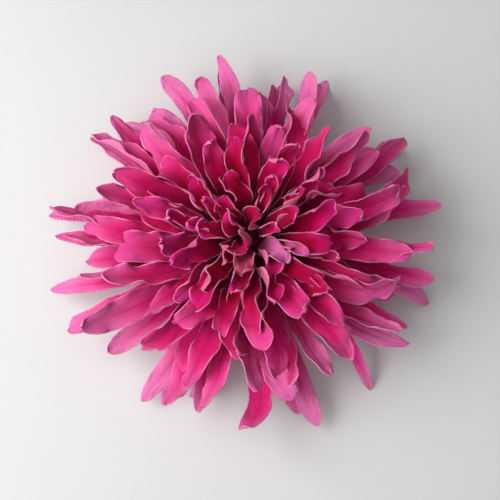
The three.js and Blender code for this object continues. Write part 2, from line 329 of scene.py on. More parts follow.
class GeometryTree(NodeTree):
    """A geometry tree with named inputs, and ways to run it on a mesh."""

    def __init__(self, name):
        super().__init__(bpy.data.node_groups.new(name, "GeometryNodeTree"))
        self.tree.interface.new_socket("Geometry", in_out="INPUT", socket_type="NodeSocketGeometry")
        self.tree.interface.new_socket("Geometry", in_out="OUTPUT", socket_type="NodeSocketGeometry")
        self.start = self.tree.nodes.new("NodeGroupInput")
        self.end = self.tree.nodes.new("NodeGroupOutput")

    def input(self, name, kind="NodeSocketFloat"):
        self.tree.interface.new_socket(name, in_out="INPUT", socket_type=kind)
        return Value(self, self.start.outputs[name])

    def span(self, name):
        return self.input(f"{name} low"), self.input(f"{name} high")

    def store(self, geometry, name, term):
        node = self.node("GeometryNodeStoreNamedAttribute", Geometry=geometry, Name=name)
        self.feed(next(s for s in node.inputs if s.enabled and s.name == "Value"), term)
        return self.value(node)

    def keep(self, geometry, term, kind="FLOAT"):
        """The geometry, and the term's value on it, fixed here whatever moves later."""
        node = self.tree.nodes.new("GeometryNodeCaptureAttribute")
        node.capture_items.new(kind, "kept")
        self.feed(node.inputs["Geometry"], geometry)
        self.feed(node.inputs["kept"], term)
        return Value(self, node.outputs["Geometry"]), Value(self, node.outputs["kept"])

    def paint(self, geometry, material, selection=True):
        inputs = {"Geometry": geometry, "Selection": selection, "Material": material}
        return self.value(self.node("GeometryNodeSetMaterial", **inputs))

    def join(self, *geometries):
        node = self.tree.nodes.new("GeometryNodeJoinGeometry")
        for geometry in reversed(geometries):
            self.tree.links.new(geometry.socket, node.inputs[0])
        return self.value(node)

    def finish(self, geometry):
        real = self.node("GeometryNodeRealizeInstances", geometry)
        smooth = self.node("GeometryNodeSetShadeSmooth", Geometry=self.value(real))
        self.tree.links.new(smooth.outputs[0], self.end.inputs["Geometry"])

    def run(self, source, inputs):
        """The plain mesh that the tree makes of a mesh, with these inputs."""
        carrier = bpy.data.objects.new("carrier", source)
        bpy.context.scene.collection.objects.link(carrier)
        modifier = carrier.modifiers.new("Make", "NODES")
        modifier.node_group = self.tree
        for item in self.tree.interface.items_tree:
            if item.in_out == "INPUT" and item.name in inputs:
                modifier[item.identifier] = inputs[item.name]
        state = bpy.context.evaluated_depsgraph_get()
        evaluated = carrier.evaluated_get(state)
        made = bpy.data.meshes.new_from_object(evaluated, preserve_all_data_layers=True, depsgraph=state)
        carrier.modifiers.remove(modifier)
        bpy.data.objects.remove(carrier)
        return made


def add_piece(name, mesh, node, slot):
    """Adds a finished piece that stands for a CAD node."""
    mesh.name = name
    piece = bpy.data.objects.new(name, mesh)
    bpy.context.scene.collection.objects.link(piece)
    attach(piece, BODY)
    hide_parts(node)
    return piece


# ---- Reading the petals from the frame ----


def merged(node):
    """A node's corners, each once, and its triangles."""
    mesh = frame["nodes"][node].data
    corners = np.empty(len(mesh.vertices) * 3)
    mesh.vertices.foreach_get("co", corners)
    triangles = np.empty(len(mesh.loops), int)
    mesh.loops.foreach_get("vertex_index", triangles)
    whole_microns = np.round(corners.reshape(-1, 3) * 1e6).astype(int)
    _, first, same = np.unique(whole_microns, axis=0, return_index=True, return_inverse=True)
    return corners.reshape(-1, 3)[first], same.ravel()[triangles].reshape(-1, 3)


def neighbours_of(count, triangles):
    neighbours = [set() for _ in range(count)]
    for a, b, c in triangles.tolist():
        neighbours[a] |= {b, c}
        neighbours[b] |= {a, c}
        neighbours[c] |= {a, b}
    return neighbours


def section_of(corners):
    """One edge, the midrib and the other edge of a cross-section's middle surface."""
    left = list(range(1, len(corners)))
    partner = min(left, key=lambda i: np.linalg.norm(corners[i] - corners[0]))
    points = [(corners[0] + corners[partner]) / 2]
    left.remove(partner)
    while left:
        one = left.pop(0)
        partner = min(left, key=lambda i: np.linalg.norm(corners[i] - corners[one]))
        left.remove(partner)
        points.append((corners[one] + corners[partner]) / 2)
    spans = {i: np.linalg.norm(points[i - 1] - points[i - 2]) for i in range(3)}
    middle = max(spans, key=spans.get)
    return points[middle - 1], points[middle], points[middle - 2]


class Petal:
    """A petal's stations, from its disc to its tip: the midrib, the way across it and half its width."""

    def __init__(self, apex, sections, disc_radius, disc_z):
        near = sections[0][1]
        root = near * [1, 1, 0] * (disc_radius - 0.5 * MM) / np.hypot(*near[:2]) + [0, 0, disc_z]
        self.midrib = [root, *(middle for _, middle, _ in sections), apex]
        self.half = max(np.linalg.norm(a - b) / 2 for a, _, b in sections)
        self.length = sum(np.linalg.norm(b - a) for a, b in zip(self.midrib, self.midrib[1:]))
        self.across = []
        raised = []
        for i, (a, middle, b) in enumerate(sections, 1):
            along = self.midrib[i + 1] - self.midrib[i - 1]
            normal = (a + b) / 2 - middle
            across = (a - b) / np.linalg.norm(a - b)
            if np.dot(np.cross(along, across), normal) < 0:
                across = -across
            self.across.append(across)
            raised.append(np.linalg.norm(normal) / np.linalg.norm(a - b) * 2)
        self.across = [self.across[0], *self.across, self.across[-1]]
        self.cup = max(raised)
        self.neck = np.linalg.norm(sections[0][0] - sections[0][2]) / 2


def read_round(node):
    """A round's petals, and its disc's radius and height."""
    corners, triangles = merged(node)
    neighbours = neighbours_of(len(corners), triangles)
    radius = np.hypot(corners[:, 0], corners[:, 1])
    hole = radius < radius.min() + 0.02 * MM
    disc_z = corners[hole, 2].mean()
    skin = np.abs(corners[:, 2] - disc_z).max(where=hole, initial=0)
    level = np.abs(np.abs(corners[:, 2] - disc_z) - skin) < 0.002 * MM
    radii, counts = np.unique(np.round(radius[level & ~hole], 5), return_counts=True)
    disc_radius = float(radii[counts >= RIM_CORNERS].max())
    petals = []
    for apex, ring in enumerate(neighbours):
        sections = []
        seen = {apex} | ring
        while len(ring) == STATION_CORNERS and len(sections) < STATIONS:
            sections.append(section_of(corners[sorted(ring)]))
            ring = set().union(*(neighbours[corner] for corner in ring)) - seen
            seen |= ring
        if len(sections) == STATIONS:
            petals.append(Petal(corners[apex], sections[::-1], disc_radius, disc_z))
    return petals, disc_radius, disc_z, radius.min()


def oddities_of(node, petals):
    """How faded, sallow and curled up each petal of a round is."""
    oddities = [[0.0, 0.0, 0.0] for _ in petals]
    for odd_node, azimuth, *oddity in ODD_PETALS:
        if odd_node == node:
            way = np.array([math.cos(azimuth), math.sin(azimuth), 0])
            nearest = max(range(len(petals)), key=lambda i: np.dot(petals[i].midrib[-1], way))
            oddities[nearest] = oddity
    return oddities


def midrib_mesh(petals, oddities):
    """One line of stations for each petal, with what the tree needs to know at each."""
    mesh = bpy.data.meshes.new("midribs")
    points = [tuple(point) for petal in petals for point in petal.midrib]
    per = len(petals[0].midrib)
    edges = [(p * per + i, p * per + i + 1) for p in range(len(petals)) for i in range(per - 1)]
    mesh.from_pydata(points, edges, [])
    shapes = [(petal.half, petal.cup, petal.length) for petal in petals]
    known = {
        "across": np.array([petal.across for petal in petals]),
        "shape": np.repeat(np.array(shapes), per, axis=0),
        "oddity": np.repeat(np.array(oddities), per, axis=0),
    }
    for name, vectors in known.items():
        attribute = mesh.attributes.new(name, "FLOAT_VECTOR", "POINT")
        attribute.data.foreach_set("vector", vectors.ravel())
    return mesh


# ---- The petal tree ----


def petal_tree(materials):
    """Sweeps cloth along each midrib, gives it thickness and loose threads, and adds the disc."""
    t = GeometryTree("Petal round")
    stations = Value(t, t.start.outputs["Geometry"])
    rows = t.input("Rows", "NodeSocketInt")
    columns = t.input("Columns", "NodeSocketInt")
    seed = t.input("Seed", "NodeSocketInt")
    cloth = t.input("Cloth")
    neck = t.input("Neck")
    trough_low, trough_high = t.span("Trough")
    roll_low, roll_high = t.span("Roll")
    tip_low, tip_high = t.span("Tip")
    twist = t.input("Twist")
    sway = t.input("Sway")
    breadth = t.input("Breadth")
    shoulder_low, shoulder_high = t.span("Shoulder")
    ruffle, ruffle_pitch = t.input("Ruffle"), t.input("Ruffle pitch")
    crinkle, crinkle_pitch = t.input("Crinkle"), t.input("Crinkle pitch")
    vein = t.input("Vein")
    fray = t.input("Fray")
    thread, thread_share = t.input("Thread"), t.input("Thread share")
    pale = t.input("Pale")
    disc_radius, hole_radius = t.input("Disc radius"), t.input("Hole radius")
    disc_z = t.input("Disc height")

    lines = t.node("GeometryNodeMeshToCurve", stations)
    smooth = {"spline_type": "CATMULL_ROM"}
    curves = t.node("GeometryNodeCurveSplineType", lines.outputs[0], settings=smooth)
    curves = t.node("GeometryNodeSetSplineResolution", curves.outputs[0], Resolution=16).outputs[0]
    count = t.node("GeometryNodeAttributeDomainSize", curves, settings={"component": "CURVE"})

    grid = t.node("GeometryNodeMeshGrid", 1.0, 1.0, rows, columns).outputs["Mesh"]
    points = t.node("GeometryNodePoints", t.value(count, "Spline Count"))
    points, petal = t.keep(points.outputs[0], t.value(t.node("GeometryNodeInputIndex")), "INT")
    copies = t.node("GeometryNodeInstanceOnPoints", Points=points, Instance=grid)
    flat = t.value(t.node("GeometryNodeRealizeInstances", copies.outputs[0]))

    # Where a point lies on its petal: u from the disc (0) to the tip (1), and v across it (-1 to 1).
    x, y, _ = t.separate(t.value(t.node("GeometryNodeInputPosition")))
    flat, u = t.keep(flat, 1 - (0.5 - x) ** TIP_CROWDING)
    flat, v = t.keep(flat, t.number("SIGN", y) * t.size(y * 2) ** EDGE_CROWDING)
    edge = t.size(v)
    by_side = t.number("SIGN", v)

    def chance(low, high, offset):
        """A number of each petal's own."""
        return t.value(t.node("FunctionNodeRandomValue", low, high, ID=petal, Seed=seed + offset))

    def drifting(reach, offset):
        """Smooth noise along a petal, different on its two sides."""
        return t.noise(t.combine(along / reach, by_side * 3.0 + offset, petal * 5.3 + seed), 1.0, 1.0)

    def along_curve(attribute):
        vectors = {"data_type": "FLOAT_VECTOR"}
        named = t.node("GeometryNodeInputNamedAttribute", Name=attribute, settings=vectors)
        settings = {**vectors, "mode": "FACTOR", "use_all_curves": False}
        inputs = {"Curves": curves, "Value": t.value(named), "Factor": u, "Curve_Index": petal}
        return t.node("GeometryNodeSampleCurve", settings=settings, **inputs)

    by_across = along_curve("across")
    midrib = t.value(by_across, "Position")
    tangent = t.value(by_across, "Tangent")
    rough_across = t.value(by_across, "Value")
    half, cup, length = t.separate(t.value(along_curve("shape"), "Value"))
    faded, sallow, curled_up = t.separate(t.value(along_curve("oddity"), "Value"))
    flat_across = t.vector("NORMALIZE", rough_across - tangent * t.dot(rough_across, tangent))
    flat_normal = t.vector("NORMALIZE", t.vector("CROSS_PRODUCT", tangent, flat_across))
    along = u * length
    formed = t.smooth(u, 0.02, 0.36)

    # The petal turns about its midrib, and its last stretch curls up or down.
    wander = drifting(14 * MM, 9.0) * 0.25 * formed
    turn = (chance(-1.0, 1.0, 21) * t.smooth(u, 0.1, 1.0) + wander) * twist
    across = flat_across * t.cosine(turn) + flat_normal * t.sine(turn)
    upright = flat_normal * t.cosine(turn) - flat_across * t.sine(turn)
    curl_from = chance(0.55, 0.8, 22)
    curl_length = length * (1 - curl_from)
    curl = t.away_from_zero(chance(tip_low, tip_high, 7) + curled_up)
    curled = curl * t.number("MAXIMUM", u - curl_from, 0.0) / (1 - curl_from)
    ahead = curl_length * (t.sine(curled) - curled) / curl
    lift = curl_length * (1 - t.cosine(curled)) / curl
    normal = upright * t.cosine(curled) - tangent * t.sine(curled)
    swing = across * sway * chance(-1.0, 1.0, 23) * t.sine(u * chance(2.2, 4.4, 24)) * u
    spine = midrib + tangent * ahead + upright * lift + swing

    # The cut outline: a neck, long sides and a tip, with an edge that wanders where threads came away.
    blunt = chance(1.6, 2.7, 1)
    shoulder = chance(shoulder_low, shoulder_high, 25)
    past = t.number("MAXIMUM", (u - shoulder) / (1 - shoulder), 0.0)
    taper = t.number("SQRT", 1.003 - past ** blunt)
    uneven = 1 + drifting(11 * MM, 2.0) * 0.07
    width = half * t.smooth(u, 0.0, WIDEST_AT, neck, 1.0) * breadth * taper * uneven
    nicks = t.noise(t.combine(along / MM, by_side * 7, petal * 3.7 + seed), 1.5, 4.0)
    ragged = by_side * t.smooth(edge, 0.7, 1.0) * nicks * fray * t.smooth(u, 0.1, 0.4)

    # The trough: an arc from the midrib to near the edge, then a tighter roll where the edge turns over.
    opened = t.smooth(u, 0.75, 1.0, 1.0, 0.35)
    deepened = formed * opened * (1 + drifting(16 * MM, 5.0) * 0.4)
    trough = t.away_from_zero(cup * chance(trough_low, trough_high, 2) * deepened)
    turned_over = t.smooth(drifting(10 * MM, 1.0), -0.2, 0.75) * t.smooth(u, 0.25, 0.55)
    inner_part = t.number("MINIMUM", edge, LIP_FROM)
    outer_part = edge - inner_part
    roll = t.away_from_zero(trough + chance(roll_low, roll_high, 6) * turned_over / (1 - LIP_FROM))
    lean = trough * inner_part
    rolled = lean + roll * outer_part
    sideways = t.sine(lean) / trough + (t.sine(rolled) - t.sine(lean)) / roll
    raised = (1 - t.cosine(lean)) / trough + (t.cosine(lean) - t.cosine(rolled)) / roll

    # Creases, the pressed vein and the waves of the edge.
    groove = vein * t.number("EXPONENT", (v * 8) ** 2 * -1) * formed * -1
    swell = t.noise(t.combine(along / (8 * MM), v * 1.3, petal * 9.3 + seed), 1.0, 2.0)
    crease_place = along / crinkle_pitch + edge * chance(-1.4, 1.4, 3) + swell * 1.4
    creases = t.wave(crease_place) * crinkle * formed * (0.25 + edge * 0.75) * t.smooth(swell, -0.6, 0.8)
    phase = by_side * chance(0.1, 0.5, 4) + chance(0.0, 1.0, 5)
    waves = t.wave(along / ruffle_pitch + phase + swell * 0.4) + swell * 0.8
    ruffles = waves * ruffle * edge ** 2.2 * t.smooth(u, 0.2, 0.8)
    height = raised * width + groove + creases + ruffles + swell * crinkle * 2.5 * formed

    place = spine + across * (sideways * width * by_side + ragged) + normal * height
    place_x, place_y, place_z = t.separate(place)
    place = t.combine(place_x, place_y, t.number("MAXIMUM", place_z, cloth * LEAST_HEIGHT))
    sheet = t.value(t.node("GeometryNodeSetPosition", flat, Position=place))
    sheet, side_way = t.keep(sheet, across * by_side, "VECTOR")
    sheet, up = t.keep(sheet, t.value(t.node("GeometryNodeInputNormal")), "VECTOR")
    threads = loose_threads(t, sheet, side_way, edge, seed, thread, thread_share)
    cut = t.join(thickened(t, sheet, up, cloth, materials), t.paint(threads, materials["edge"]))

    # These attributes lead the dye, the painted shade near the disc and the weave.
    followed_by_dye_shade_and_weave = {
        "reach": u,
        "along": along / MM,
        "side": v,
        "tone": chance(-1.0, 1.0, 8),
        "halfwidth": half / MM,
        "pull": petal * 1.0 + seed,
        "faded": faded,
        "sallow": sallow,
    }
    for name, term in followed_by_dye_shade_and_weave.items():
        cut = t.store(cut, name, term)

    disc = t.paint(swept_ring(t, hole_radius, disc_radius, cloth, disc_z), materials["upper"])
    t.finish(t.store(t.join(cut, disc), "pale", pale))
    return t


def thickened(t, sheet, up, cloth, materials):
    """The sheet with an underside and a cut edge: itself pushed down, turned round and closed."""
    inputs = {"Mesh": sheet, "Offset": up * -1, "Offset_Scale": cloth, "Individual": False}
    pushed = t.node("GeometryNodeExtrudeMesh", **inputs)
    under = t.value(t.node("GeometryNodeFlipFaces", pushed.outputs["Mesh"]))
    under = t.paint(under, materials["under"])
    under = t.paint(under, materials["edge"], t.value(pushed, "Side"))
    closed = t.join(t.paint(sheet, materials["upper"]), under)
    return t.value(t.node("GeometryNodeMergeByDistance", closed, Distance=0.002 * MM))


def loose_threads(t, sheet, side_way, edge, seed, thread, thread_share):
    """Thin spikes that stick out of some of the points on the cut edge."""
    yes_or_no = {"data_type": "BOOLEAN"}
    picked = t.node(
        "FunctionNodeRandomValue", Probability=thread_share, Seed=seed + 11, settings=yes_or_no
    )
    on_edge = t.node("FunctionNodeCompare", edge, 0.999, settings={"operation": "GREATER_THAN"})
    both = {"operation": "AND"}
    chosen = t.node("FunctionNodeBooleanMath", t.value(on_edge), t.value(picked), settings=both)
    spike = t.node(
        "GeometryNodeMeshCone",
        Vertices=4,
        Side_Segments=1,
        Radius_Top=0.004 * MM,
        Radius_Bottom=0.035 * MM,
        Depth=thread,
    )
    every_way = {"data_type": "FLOAT_VECTOR"}
    astray = t.node("FunctionNodeRandomValue", (-1.0,) * 3, (1.0,) * 3, Seed=seed + 12, settings=every_way)
    thread_way = side_way + t.value(astray) * 0.9
    pointed = t.node("FunctionNodeAlignEulerToVector", Vector=thread_way, settings={"axis": "Z"})
    stretch = t.node("FunctionNodeRandomValue", 0.3, 1.3, Seed=seed + 13)
    threads = t.node(
        "GeometryNodeInstanceOnPoints",
        Points=sheet,
        Selection=t.value(chosen),
        Instance=spike.outputs["Mesh"],
        Rotation=t.value(pointed),
        Scale=t.value(stretch),
    )
    return t.value(t.node("GeometryNodeRealizeInstances", threads.outputs[0]))


def swept_ring(t, inner, outer, height, middle, segments=64, ease=None):
    """A ring round the Z axis, its section a rectangle with eased corners if there is an ease."""
    circle = t.node("GeometryNodeCurvePrimitiveCircle", Resolution=segments, Radius=(inner + outer) / 2)
    profile = t.node("GeometryNodeCurvePrimitiveQuadrilateral", outer - inner, height)
    if ease is not None:
        inputs = {"Radius": ease, "Count": 4}
        profile = t.node("GeometryNodeFilletCurve", profile.outputs[0], settings={"mode": "POLY"}, **inputs)
    made = t.node("GeometryNodeCurveToMesh", circle.outputs[0], profile.outputs[0])
    lifted = t.combine(0.0, 0.0, middle)
    return t.value(t.node("GeometryNodeTransform", made.outputs[0], Translation=lifted))


# ---- Materials ----


class ShaderTree(NodeTree):
    """A material's tree, with its Principled shader."""

    def __init__(self, name):
        self.material = bpy.data.materials.new(name)
        self.material.use_nodes = True
        super().__init__(self.material.node_tree)
        self.shader = self.tree.nodes["Principled BSDF"]

    def set(self, **inputs):
        for name, term in inputs.items():
            self.feed(self.shader.inputs[name.replace("_", " ")], term)

    def attribute(self, name):
        node = self.node("ShaderNodeAttribute", settings={"attribute_name": name})
        return Value(self, node.outputs["Fac"])

    def place(self):
        return Value(self, self.tree.nodes.new("ShaderNodeTexCoord").outputs["Object"])

    def mix(self, amount, first, second):
        node = self.tree.nodes.new("ShaderNodeMix")
        node.data_type = "RGBA"
        colours = [socket for socket in node.inputs if socket.type == "RGBA"]
        self.feed(node.inputs[0], amount)
        for socket, colour in zip(colours, (first, second)):
            self.feed(socket, colour if isinstance(colour, Value) else (*colour, 1.0))
        return Value(self, next(socket for socket in node.outputs if socket.type == "RGBA"))

    def bump(self, height, depth, strength=1.0):
        node = self.node("ShaderNodeBump", Strength=strength, Distance=depth, Height=height)
        self.set(Normal=self.value(node, "Normal"))


def petal_material(name, sizes, side):
    """Dyed cloth, deep at the disc with painted shade over it and paler at the tip, with a pale cut edge,
    pressed ribs and a vein darkened with painted shade, and a weave.
    """
    m = ShaderTree(name)
    reach, along, v = m.attribute("reach"), m.attribute("along"), m.attribute("side")
    tone, pale, half, pull = (m.attribute(key) for key in ("tone", "pale", "halfwidth", "pull"))
    faded, sallow = m.attribute("faded"), m.attribute("sallow")
    edge = m.size(v)
    across = v * half

    def on_petal(lengthwise, crosswise, detail):
        return m.noise(m.combine(along * lengthwise, across * crosswise, pull * 7.3), 1.0, detail)

    patches = on_petal(0.16, 0.4, 2.0)
    streaks = on_petal(0.25, 1.9, 3.0)
    grain = on_petal(4.5, 4.5, 2.0)
    # Painted shade: out from the disc the colour starts from the dark base, which is shade of the centre
    # painted over the deep dye.
    deep = m.smooth(reach, 0.06, 0.72 - pale * 0.32)
    tip = m.mix(pale, sizes.inner_tip, sizes.outer_tip)
    dyed = m.mix(deep, sizes.base, m.mix(pale, sizes.middle, sizes.outer))
    washed = m.smooth(reach + edge * 0.14 + tone * 0.15 + patches * 0.07 + pale * 0.12, 0.74, 1.16)
    dyed = m.mix(washed, dyed, tip)
    dyed = m.mix(m.smooth(tone + patches * 0.3, 0.2, 1.3) * 0.3 * deep, dyed, tip)
    dyed = m.mix(m.smooth(streaks, 0.0, 1.3) * (0.16 + pale * 0.3) * deep, dyed, tip)
    # Random darker streaks, mixed towards the base colour with its painted shade.
    dyed = m.mix(m.smooth(streaks * -1, 0.2, 1.4) * 0.25, dyed, sizes.base)
    ribbed = m.smooth(patches, -0.5, 0.7) * (0.1 + pale * 0.9)
    rib = m.wave(along * RIBS_PER_MM + edge * 0.5 + patches * 0.8 + streaks * 0.22)
    weave = m.wave(along * THREADS_PER_MM) * m.wave(across * THREADS_PER_MM)
    # Painted shade: darker lines along the pressed ribs stand for shade in their grooves, broken up by the
    # streaks.
    dyed = m.mix(m.smooth(rib + streaks, -0.4, 1.4) * ribbed * 0.34, dyed, sizes.middle)
    # Painted shade: a darker line down the pressed vein stands for shade in its groove.
    vein = m.number("EXPONENT", (across * 3.2) ** 2 * -1)
    vein = vein * m.smooth(reach, 0.1, 0.4) * m.smooth(reach, 0.95, 0.6)
    dyed = m.mix(vein * 0.4, dyed, sizes.middle)
    dyed = m.mix(faded * m.smooth(reach, 0.1, 0.7), dyed, sizes.lilac)
    dyed = m.mix(sallow * m.smooth(reach, 0.1, 0.6), dyed, sizes.salmon)
    from_side = (1 - edge) * half
    from_tip = (1 - reach) * USUAL_LENGTH
    from_cut = m.number("MINIMUM", from_side, from_tip)
    frayed = m.smooth(patches + streaks * 0.5, -0.7, 0.6)
    rim = m.smooth(from_cut + grain * 0.08, *RIM_WIDTH) * frayed
    if side == "upper":
        dyed = m.mix(rim * 0.8 * m.smooth(reach, 0.1, 0.4), dyed, sizes.rim)
    elif side == "under":
        dyed = m.mix((0.3 + rim * 0.4) * deep, dyed, sizes.rim)
    else:
        dyed = m.mix((0.2 + frayed * 0.45) * m.smooth(reach, 0.1, 0.5), dyed, sizes.rim)
    m.set(Base_Color=dyed, Roughness=0.85, Specular_IOR_Level=0.06)
    m.set(Sheen_Weight=0.12, Sheen_Roughness=0.5, Sheen_Tint=(1.0, 0.25, 0.5, 1.0))
    m.bump(rib * ribbed * 0.5 + streaks * 0.5 + weave * 0.15 + grain * 0.4, 0.14 * MM, 0.9)
    return m.material


def plastic_material(name, colour, roughness, grain, speckle):
    """Moulded plastic with a slightly uneven colour and skin."""
    m = ShaderTree(name)
    clouds = m.noise(m.place(), grain, 3.0)
    darker = tuple(channel * 0.6 for channel in colour)
    m.set(Base_Color=m.mix(m.smooth(clouds, -1.0, 1.0), darker, tuple(colour)))
    m.set(Roughness=m.smooth(clouds, -1.0, 1.0, roughness - 0.08, roughness + 0.08))
    m.set(Specular_IOR_Level=0.15)
    m.bump(m.noise(m.place(), speckle, 2.0), 0.03 * MM, 0.5)
    return m.material


def calyx_material(sizes):
    """Green plastic with moulded veins that run out along the sepals."""
    m = ShaderTree("calyx_plastic")
    x, y, _ = m.separate(m.place())
    turn = m.number("ARCTAN2", y, x)
    clouds = m.noise(m.place(), 320.0, 3.0)
    veins = m.number("SINE", turn * 60 + clouds * 0.8)
    darker = tuple(channel * 0.5 for channel in sizes.calyx)
    m.set(Base_Color=m.mix(m.smooth(clouds + veins * 0.4, -1.0, 1.2), darker, tuple(sizes.calyx)))
    m.set(Roughness=m.smooth(clouds, -1.0, 1.0, 0.42, 0.58))
    m.bump(veins * 0.6 + clouds * 0.4, 0.12 * MM, 0.6)
    return m.material


def floor_material(sizes):
    """A pale painted board with a faint grain."""
    m = ShaderTree("floor_paint")
    clouds = m.noise(m.place(), 9.0, 3.0)
    grain = m.noise(m.place(), 420.0, 4.0)
    shade = tuple(channel * 0.955 for channel in sizes.floor)
    m.set(Base_Color=m.mix(m.smooth(clouds + grain * 0.3, -1.2, 1.2), shade, tuple(sizes.floor)))
    m.set(Roughness=0.6, Specular_IOR_Level=0.3)
    m.bump(grain, 0.05 * MM, 0.35)
    return m.material


# ---- Operators ----


class MakePetalRounds(bpy.types.Operator):
    """Makes every round of cloth petals along the midribs of its CAD node."""

    bl_idname = "chrysanthemum.petal_rounds"
    bl_label = "Petal rounds"

    def execute(self, context):
        sizes = context.scene.chrysanthemum_petals
        materials = {
            side: petal_material(f"petal_cloth_{side}", sizes, side) for side in ("upper", "under", "edge")
        }
        tree = petal_tree(materials)
        rounds = [read_round(node) for node in ROUND_NODES]
        longest = max(petal.length for petals, *_ in rounds for petal in petals)
        for k, (node, found) in enumerate(zip(ROUND_NODES, rounds)):
            self.make_round(k, node, found, tree, sizes, longest)
        return {"FINISHED"}

    def make_round(self, k, node, found, tree, sizes, longest):
        petals, disc_radius, disc_z, hole_radius = found
        if not petals:
            raise RuntimeError(f"{node} has no petal that can be read")
        length = max(petal.length for petal in petals)
        inner = k / (len(ROUND_NODES) - 1)
        inputs = {
            "Rows": max(36, round(sizes.rows * length / longest)),
            "Columns": sizes.columns,
            "Seed": 100 * (k + 1),
            "Cloth": sizes.cloth,
            "Neck": sum(petal.neck / petal.half for petal in petals) / len(petals),
            "Trough low": between(inner, -1.6, 1.3),
            "Trough high": between(inner, 5.0, 3.8),
            "Roll low": between(inner, -1.5, -2.0),
            "Roll high": between(inner, 1.1, 3.6),
            "Tip low": between(inner, -1.0, -2.1),
            "Tip high": between(inner, 0.7, 2.0),
            "Twist": between(inner, 0.5, 1.35),
            "Sway": sizes.sway * length / longest,
            "Breadth": between(min(1.0, inner * 3), 0.86, 1.2),
            "Shoulder low": between(inner, 0.62, 0.5),
            "Shoulder high": between(inner, 0.93, 0.82),
            "Ruffle": sizes.ruffle * between(inner, 0.35, 2.3),
            "Ruffle pitch": sizes.ruffle_pitch * between(inner, 1.6, 0.95),
            "Crinkle": sizes.crinkle * between(inner, 1.0, 0.4),
            "Crinkle pitch": sizes.crinkle_pitch,
            "Vein": sizes.vein * between(inner, 1.0, 0.5),
            "Fray": sizes.fray,
            "Thread": sizes.thread,
            "Thread share": sizes.thread_share,
            "Pale": max(0.0, 1 - inner * 1.5),
            "Disc radius": float(disc_radius),
            "Hole radius": float(hole_radius),
            "Disc height": float(disc_z),
        }
        mesh = tree.run(midrib_mesh(petals, oddities_of(node, petals)), inputs)
        piece = add_piece(f"cloth_{node}", mesh, node, frame_slot(node))
        reach = 2 * (disc_radius + length)
        area = sum(2 * petal.half * petal.length * FULLNESS for petal in petals) + math.pi * disc_radius**2
        area = max(area, LEAST_AREA * reach**2)


def between(share, low, high):
    return low + (high - low) * share


def frame_slot(node):
    """The record's material slot of a CAD node."""
    return next(part["material_slot"] for part in frame["record"]["subparts"] if part["node"] == node)


def turned(name, outline, segments):
    """A closed mesh turned round the Z axis from (radius, z) points that start and end on the axis."""
    shape = bmesh.new()
    corners = [shape.verts.new((radius, 0, z)) for radius, z in outline]
    edges = [shape.edges.new(pair) for pair in zip(corners, corners[1:])]
    full_turn = {"cent": (0, 0, 0), "axis": (0, 0, 1), "angle": math.tau, "steps": segments}
    bmesh.ops.spin(shape, geom=corners + edges, use_merge=True, **full_turn)
    return closed_mesh(shape, name)


def closed_mesh(shape, name):
    """The mesh of a shape whose corners that meet are joined, with its faces turned outward."""
    bmesh.ops.remove_doubles(shape, verts=shape.verts, dist=0.001 * MM)
    bmesh.ops.recalc_face_normals(shape, faces=shape.faces)
    mesh = bpy.data.meshes.new(name)
    shape.to_mesh(mesh)
    shape.free()
    return mesh


def eased(outline, ease, steps=4):
    """The outline with each corner between its ends rounded by an arc."""
    points = [outline[0]]
    for before, corner, after in zip(outline, outline[1:], outline[2:]):
        corner_at = Vector(corner)
        back, ahead = Vector(before) - corner_at, Vector(after) - corner_at
        cut = min(ease, back.length / 2.2, ahead.length / 2.2)
        start, end = corner_at + back.normalized() * cut, corner_at + ahead.normalized() * cut
        for i in range(steps + 1):
            share = i / steps
            point = start.lerp(corner_at, share).lerp(corner_at.lerp(end, share), share)
            points.append(tuple(point))
    points.append(outline[-1])
    return points


class MakePeg(bpy.types.Operator):
    """Makes the peg, with its domed head at the bottom of the pit."""

    bl_idname = "chrysanthemum.peg"
    bl_label = "Peg"

    def execute(self, context):
        sizes = context.scene.chrysanthemum_holding
        low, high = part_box("centre_peg")
        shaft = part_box(BEAD_NODES[0])[1].z
        corners, _ = merged("centre_peg")
        radius = np.hypot(corners[:, 0], corners[:, 1])
        shaft_radius = radius[corners[:, 2] < shaft].max()
        head_radius = radius.max()
        under_head = corners[radius > head_radius - 0.05 * MM, 2].min()
        dome = [
            (head_radius * math.cos(angle), high.z - PEG_DOME + PEG_DOME * math.sin(angle))
            for angle in np.linspace(0, math.pi / 2, 8)
        ]
        outline = [
            (0, low.z),
            (shaft_radius, low.z),
            (shaft_radius, under_head),
            (head_radius, under_head),
            *dome[:-1],
            (0, high.z),
        ]
        mesh = turned("peg", eased(outline, sizes.ease), 48)
        mesh.materials.append(plastic_material("peg_plastic", sizes.peg, 0.75, 400.0, 2600.0))
        mesh.shade_smooth()
        add_piece("threaded_peg", mesh, "centre_peg", frame_slot("centre_peg"))
        return {"FINISHED"}


def bead_tree(material):
    """A short tube with rounded ends, swept round a circle."""
    t = GeometryTree("Spacer bead")
    inner, outer = t.input("Inner radius"), t.input("Outer radius")
    height, middle, ease = t.input("Height"), t.input("Middle"), t.input("Ease")
    t.finish(t.paint(swept_ring(t, inner, outer, height, middle, 48, ease), material))
    return t


class MakeBeads(bpy.types.Operator):
    """Makes the spacer beads between the rounds."""

    bl_idname = "chrysanthemum.beads"
    bl_label = "Spacer beads"

    def execute(self, context):
        sizes = context.scene.chrysanthemum_holding
        tree = bead_tree(plastic_material("bead_plastic", sizes.bead, 0.45, 500.0, 3000.0))
        for node in BEAD_NODES:
            corners, _ = merged(node)
            radius = np.hypot(corners[:, 0], corners[:, 1])
            low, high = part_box(node)
            inputs = {
                "Inner radius": float(radius.min()),
                "Outer radius": float(radius.max()),
                "Height": high.z - low.z,
                "Middle": (high.z + low.z) / 2,
                "Ease": sizes.ease,
            }
            mesh = tree.run(bpy.data.meshes.new("bead"), inputs)
            add_piece(f"moulded_{node}", mesh, node, frame_slot(node))
        return {"FINISHED"}


